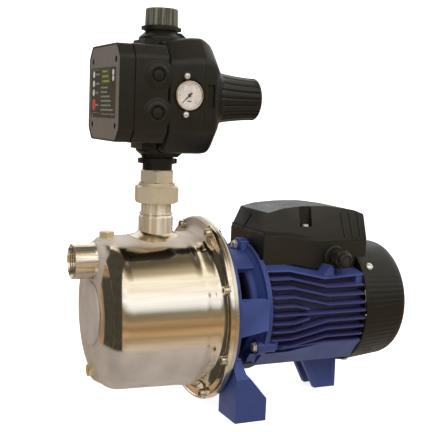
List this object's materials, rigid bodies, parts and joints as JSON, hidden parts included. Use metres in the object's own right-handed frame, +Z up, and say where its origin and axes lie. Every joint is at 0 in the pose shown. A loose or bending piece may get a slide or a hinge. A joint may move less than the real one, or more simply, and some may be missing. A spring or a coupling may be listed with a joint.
{
  "type": "shallow well jet pump",
  "caption": "Stainless shallow well jet pump on a finned electric motor, with an electronic pressure controller standing on its discharge port",
  "frame": {"origin": "centre of the bounding box in plan, on the plane of the feet", "axes": "+X runs along the shaft from the suction port back to the motor fan, +Z is up through the discharge port, +Y completes the frame and points away from the pressure gauge"},
  "size_m": [0.398, 0.21, 0.441],
  "materials": {
    "polished_steel": "polished stainless steel, satin where it was blasted",
    "steel": "plain machined stainless steel",
    "nickel": "cast stainless fittings with a warm tint",
    "brass": "turned brass",
    "blue_paint": "blue enamel over cast aluminium",
    "black_plastic": "black moulded plastic with a fine grain",
    "grey_panel": "grey printed panel",
    "red_button": "red moulded plastic",
    "cap_plastic": "grey translucent cap",
    "dial": "white dial in a plain case",
    "pointer": "black needle",
    "rubber": "black rubber",
    "inner_plastic": "glass-filled engineering plastic",
    "lamination": "bare laminated and cast metal",
    "ceramic": "lapped ceramic ring"
  },
  "bodies": {
    "pump": {"pump_casing": "polished_steel", "suction_socket": "polished_steel", "seal_plate": "polished_steel", "front_plate": "steel", "flange_screw_1": "steel", "flange_screw_2": "steel", "flange_screw_3": "steel", "flange_screw_4": "steel", "flange_screw_5": "steel", "flange_screw_6": "steel", "flange_screw_7": "steel", "flange_screw_8": "steel", "bracket_bolt_1": "steel", "bracket_bolt_2": "steel", "bracket_bolt_3": "steel", "cover_screw_1": "steel", "cover_screw_2": "steel", "cover_screw_3": "steel", "front_bearing": "steel", "rear_bearing": "steel", "discharge_socket": "nickel", "union_tail": "nickel", "union_adaptor": "nickel", "drain_plug": "brass", "ejector_nozzle": "brass", "motor_bracket": "blue_paint", "motor_frame": "blue_paint", "rear_foot": "blue_paint", "fan_cover": "black_plastic", "terminal_box": "black_plastic", "terminal_box_lid": "black_plastic", "cable_gland": "black_plastic", "gland_nut": "black_plastic", "controller_body": "black_plastic", "rear_housing": "black_plastic", "electronics_box": "black_plastic", "box_cover": "black_plastic", "control_panel": "grey_panel", "gauge_case": "dial", "casing_o_ring": "rubber", "ejector_housing": "inner_plastic", "venturi_tube": "inner_plastic", "diffuser": "inner_plastic", "capacitor": "inner_plastic", "stator": "lamination", "rear_shield": "lamination", "seal_seat": "ceramic"},
    "rotor": {"shaft": "steel", "impeller": "steel", "impeller_nut": "steel", "seal_head": "rubber", "rotor_core": "lamination", "cooling_fan": "inner_plastic"},
    "reset_button": {"reset_button": "red_button"},
    "gauge_pointer": {"gauge_pointer": "pointer"},
    "outlet_cap": {"outlet_cap": "cap_plastic"},
    "union_nut": {"union_nut": "nickel"},
    "priming_plug": {"priming_plug": "brass"},
    "check_valve": {"check_valve": "inner_plastic"},
    "pressure_piston": {"pressure_piston": "inner_plastic"}
  },
  "joints": [
    {"name": "rotor_spin", "type": "hinge", "parent": "pump", "child": "rotor", "pos_m": [-0.053, 0, 0.108], "axis": [1, 0, 0], "continuous": true},
    {"name": "reset_press", "type": "slide", "parent": "pump", "child": "reset_button", "axis": [1, 0, 0], "range_m": [0, 0.002], "stiffness_N_per_m": 300},
    {"name": "needle_sweep", "type": "hinge", "parent": "pump", "child": "gauge_pointer", "pos_m": [-0.0915, -0.0583, 0.348], "axis": [0, 1, 0], "range_deg": [0, 270], "stiffness_Nm_per_rad": 0.001},
    {"name": "outlet_cap_pull", "type": "slide", "parent": "pump", "child": "outlet_cap", "axis": [0, 0, 1], "range_m": [0, 0.03]},
    {"name": "union_nut_turn", "type": "hinge", "parent": "pump", "child": "union_nut", "pos_m": [-0.1036, 0, 0.239], "axis": [0, 0, 1], "range_deg": [0, 180]},
    {"name": "priming_plug_pull", "type": "slide", "parent": "pump", "child": "priming_plug", "axis": [0, 0, 1], "range_m": [0, 0.03]},
    {"name": "check_valve_lift", "type": "slide", "parent": "pump", "child": "check_valve", "axis": [0, 0, 1], "range_m": [0, 0.012]},
    {"name": "piston_stroke", "type": "slide", "parent": "pump", "child": "pressure_piston", "axis": [1, 0, 0], "range_m": [0, 0.006], "stiffness_N_per_m": 1500}
  ]
}
